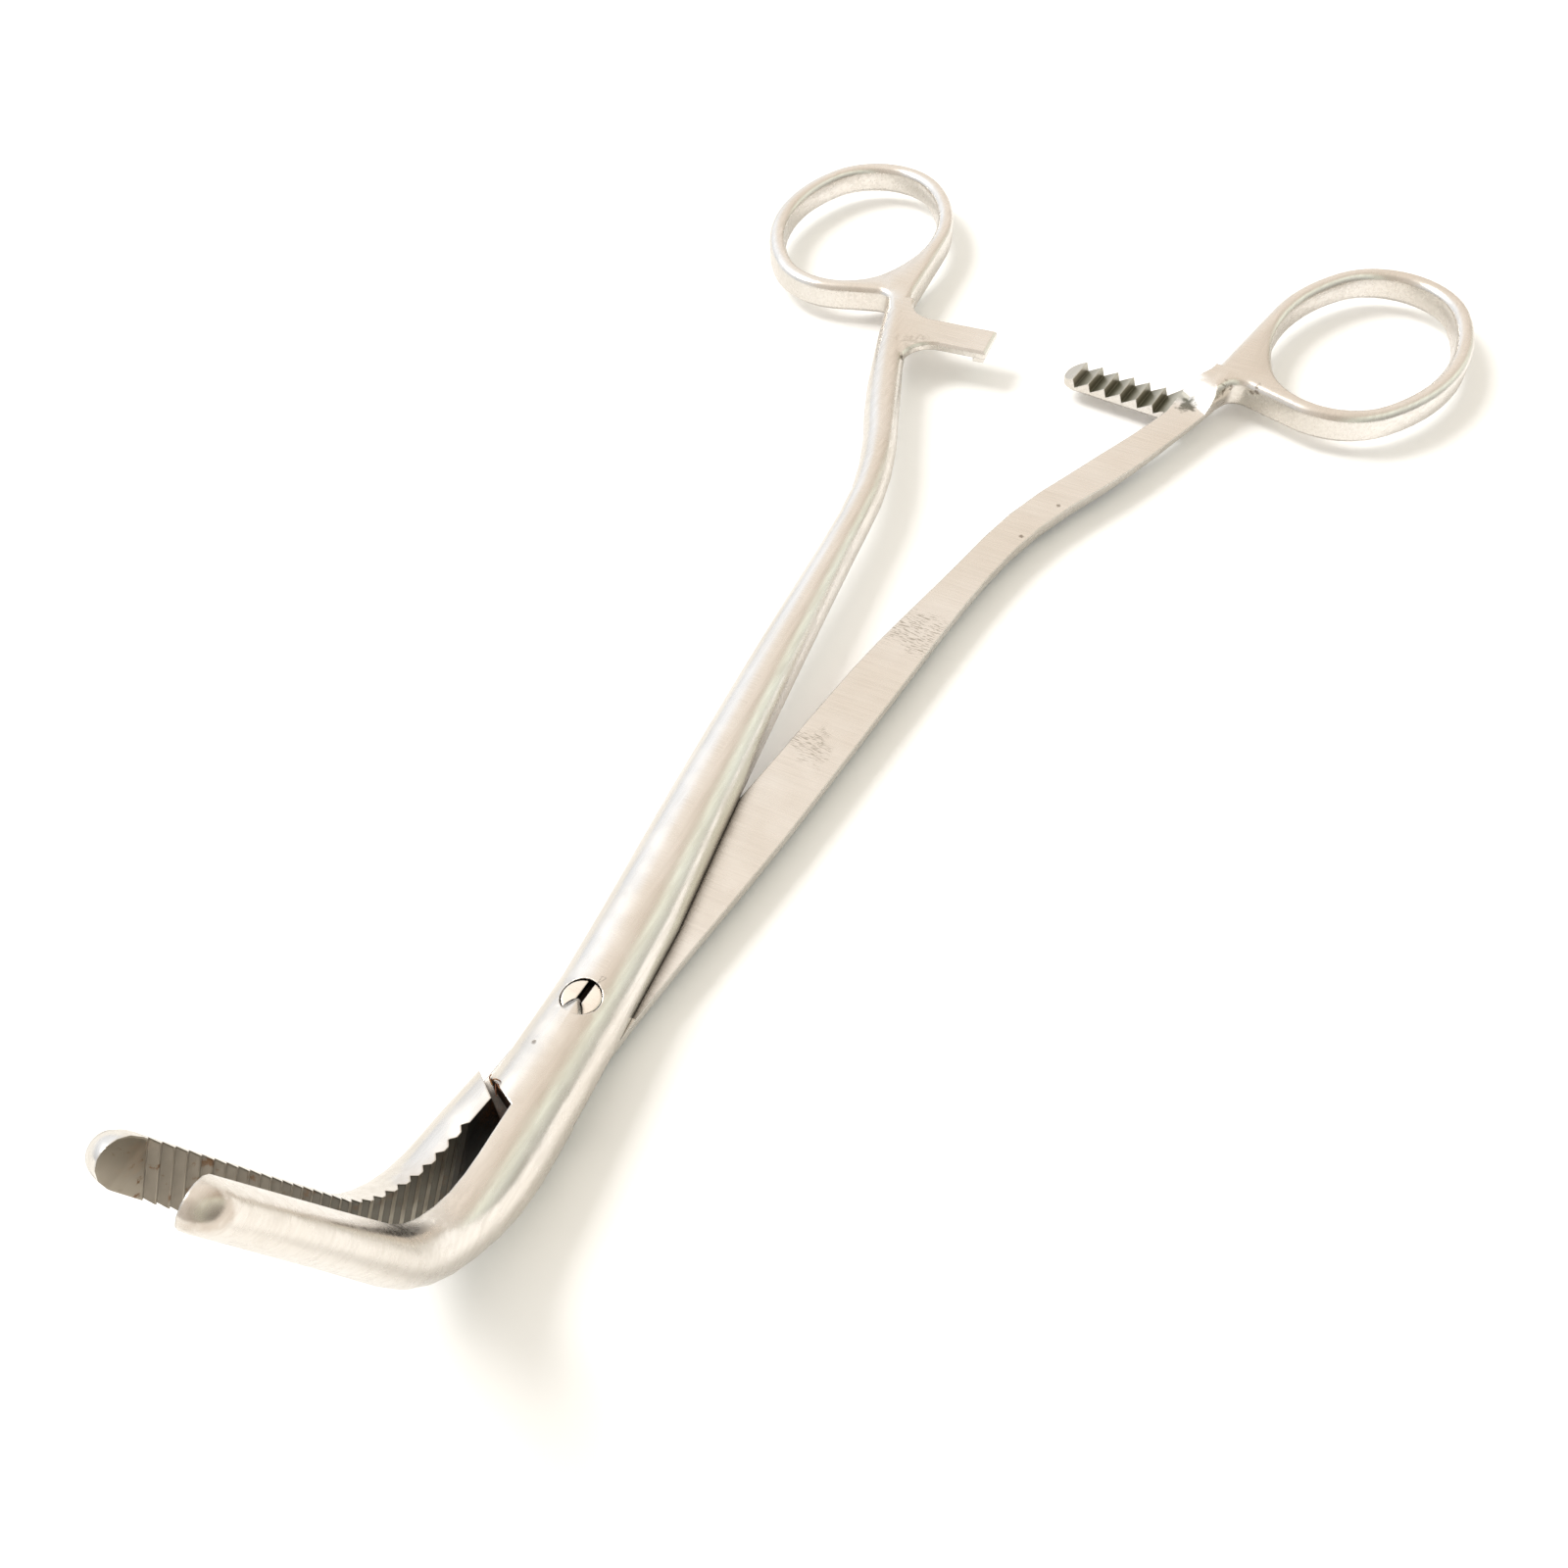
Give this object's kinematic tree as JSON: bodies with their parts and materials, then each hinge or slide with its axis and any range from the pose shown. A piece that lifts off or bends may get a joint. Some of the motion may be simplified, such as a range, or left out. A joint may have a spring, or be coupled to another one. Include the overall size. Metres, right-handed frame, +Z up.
{
  "type": "hysterectomy clamp",
  "caption": "Open hysterectomy clamp of satin steel: two forged halves on a slotted screw, finger rings, ratchet, long shanks and serrated jaws bent up at the front.",
  "frame": {"origin": "middle of the underside of the box around the clamp as it lies open", "axes": "+Y from the jaws to the finger rings, +Z square to the plane of the handles, the way the jaws point up, and +X to the right of someone who looks along +Y with +Z up"},
  "size_m": [0.1052, 0.1976, 0.0437],
  "materials": {
    "halves": "satin",
    "screw": "satin"
  },
  "bodies": {
    "lower_body": {"lower_half": "halves", "pivot_screw": "screw"},
    "upper_body": {"upper_half": "halves"}
  },
  "joints": [
    {"name": "screw_joint", "type": "hinge", "parent": "lower_body", "child": "upper_body", "pos_m": [-0.00042, -0.05999, 0.004], "axis": [0, 0, 1], "range_deg": [-7.8, 49.2]}
  ]
}
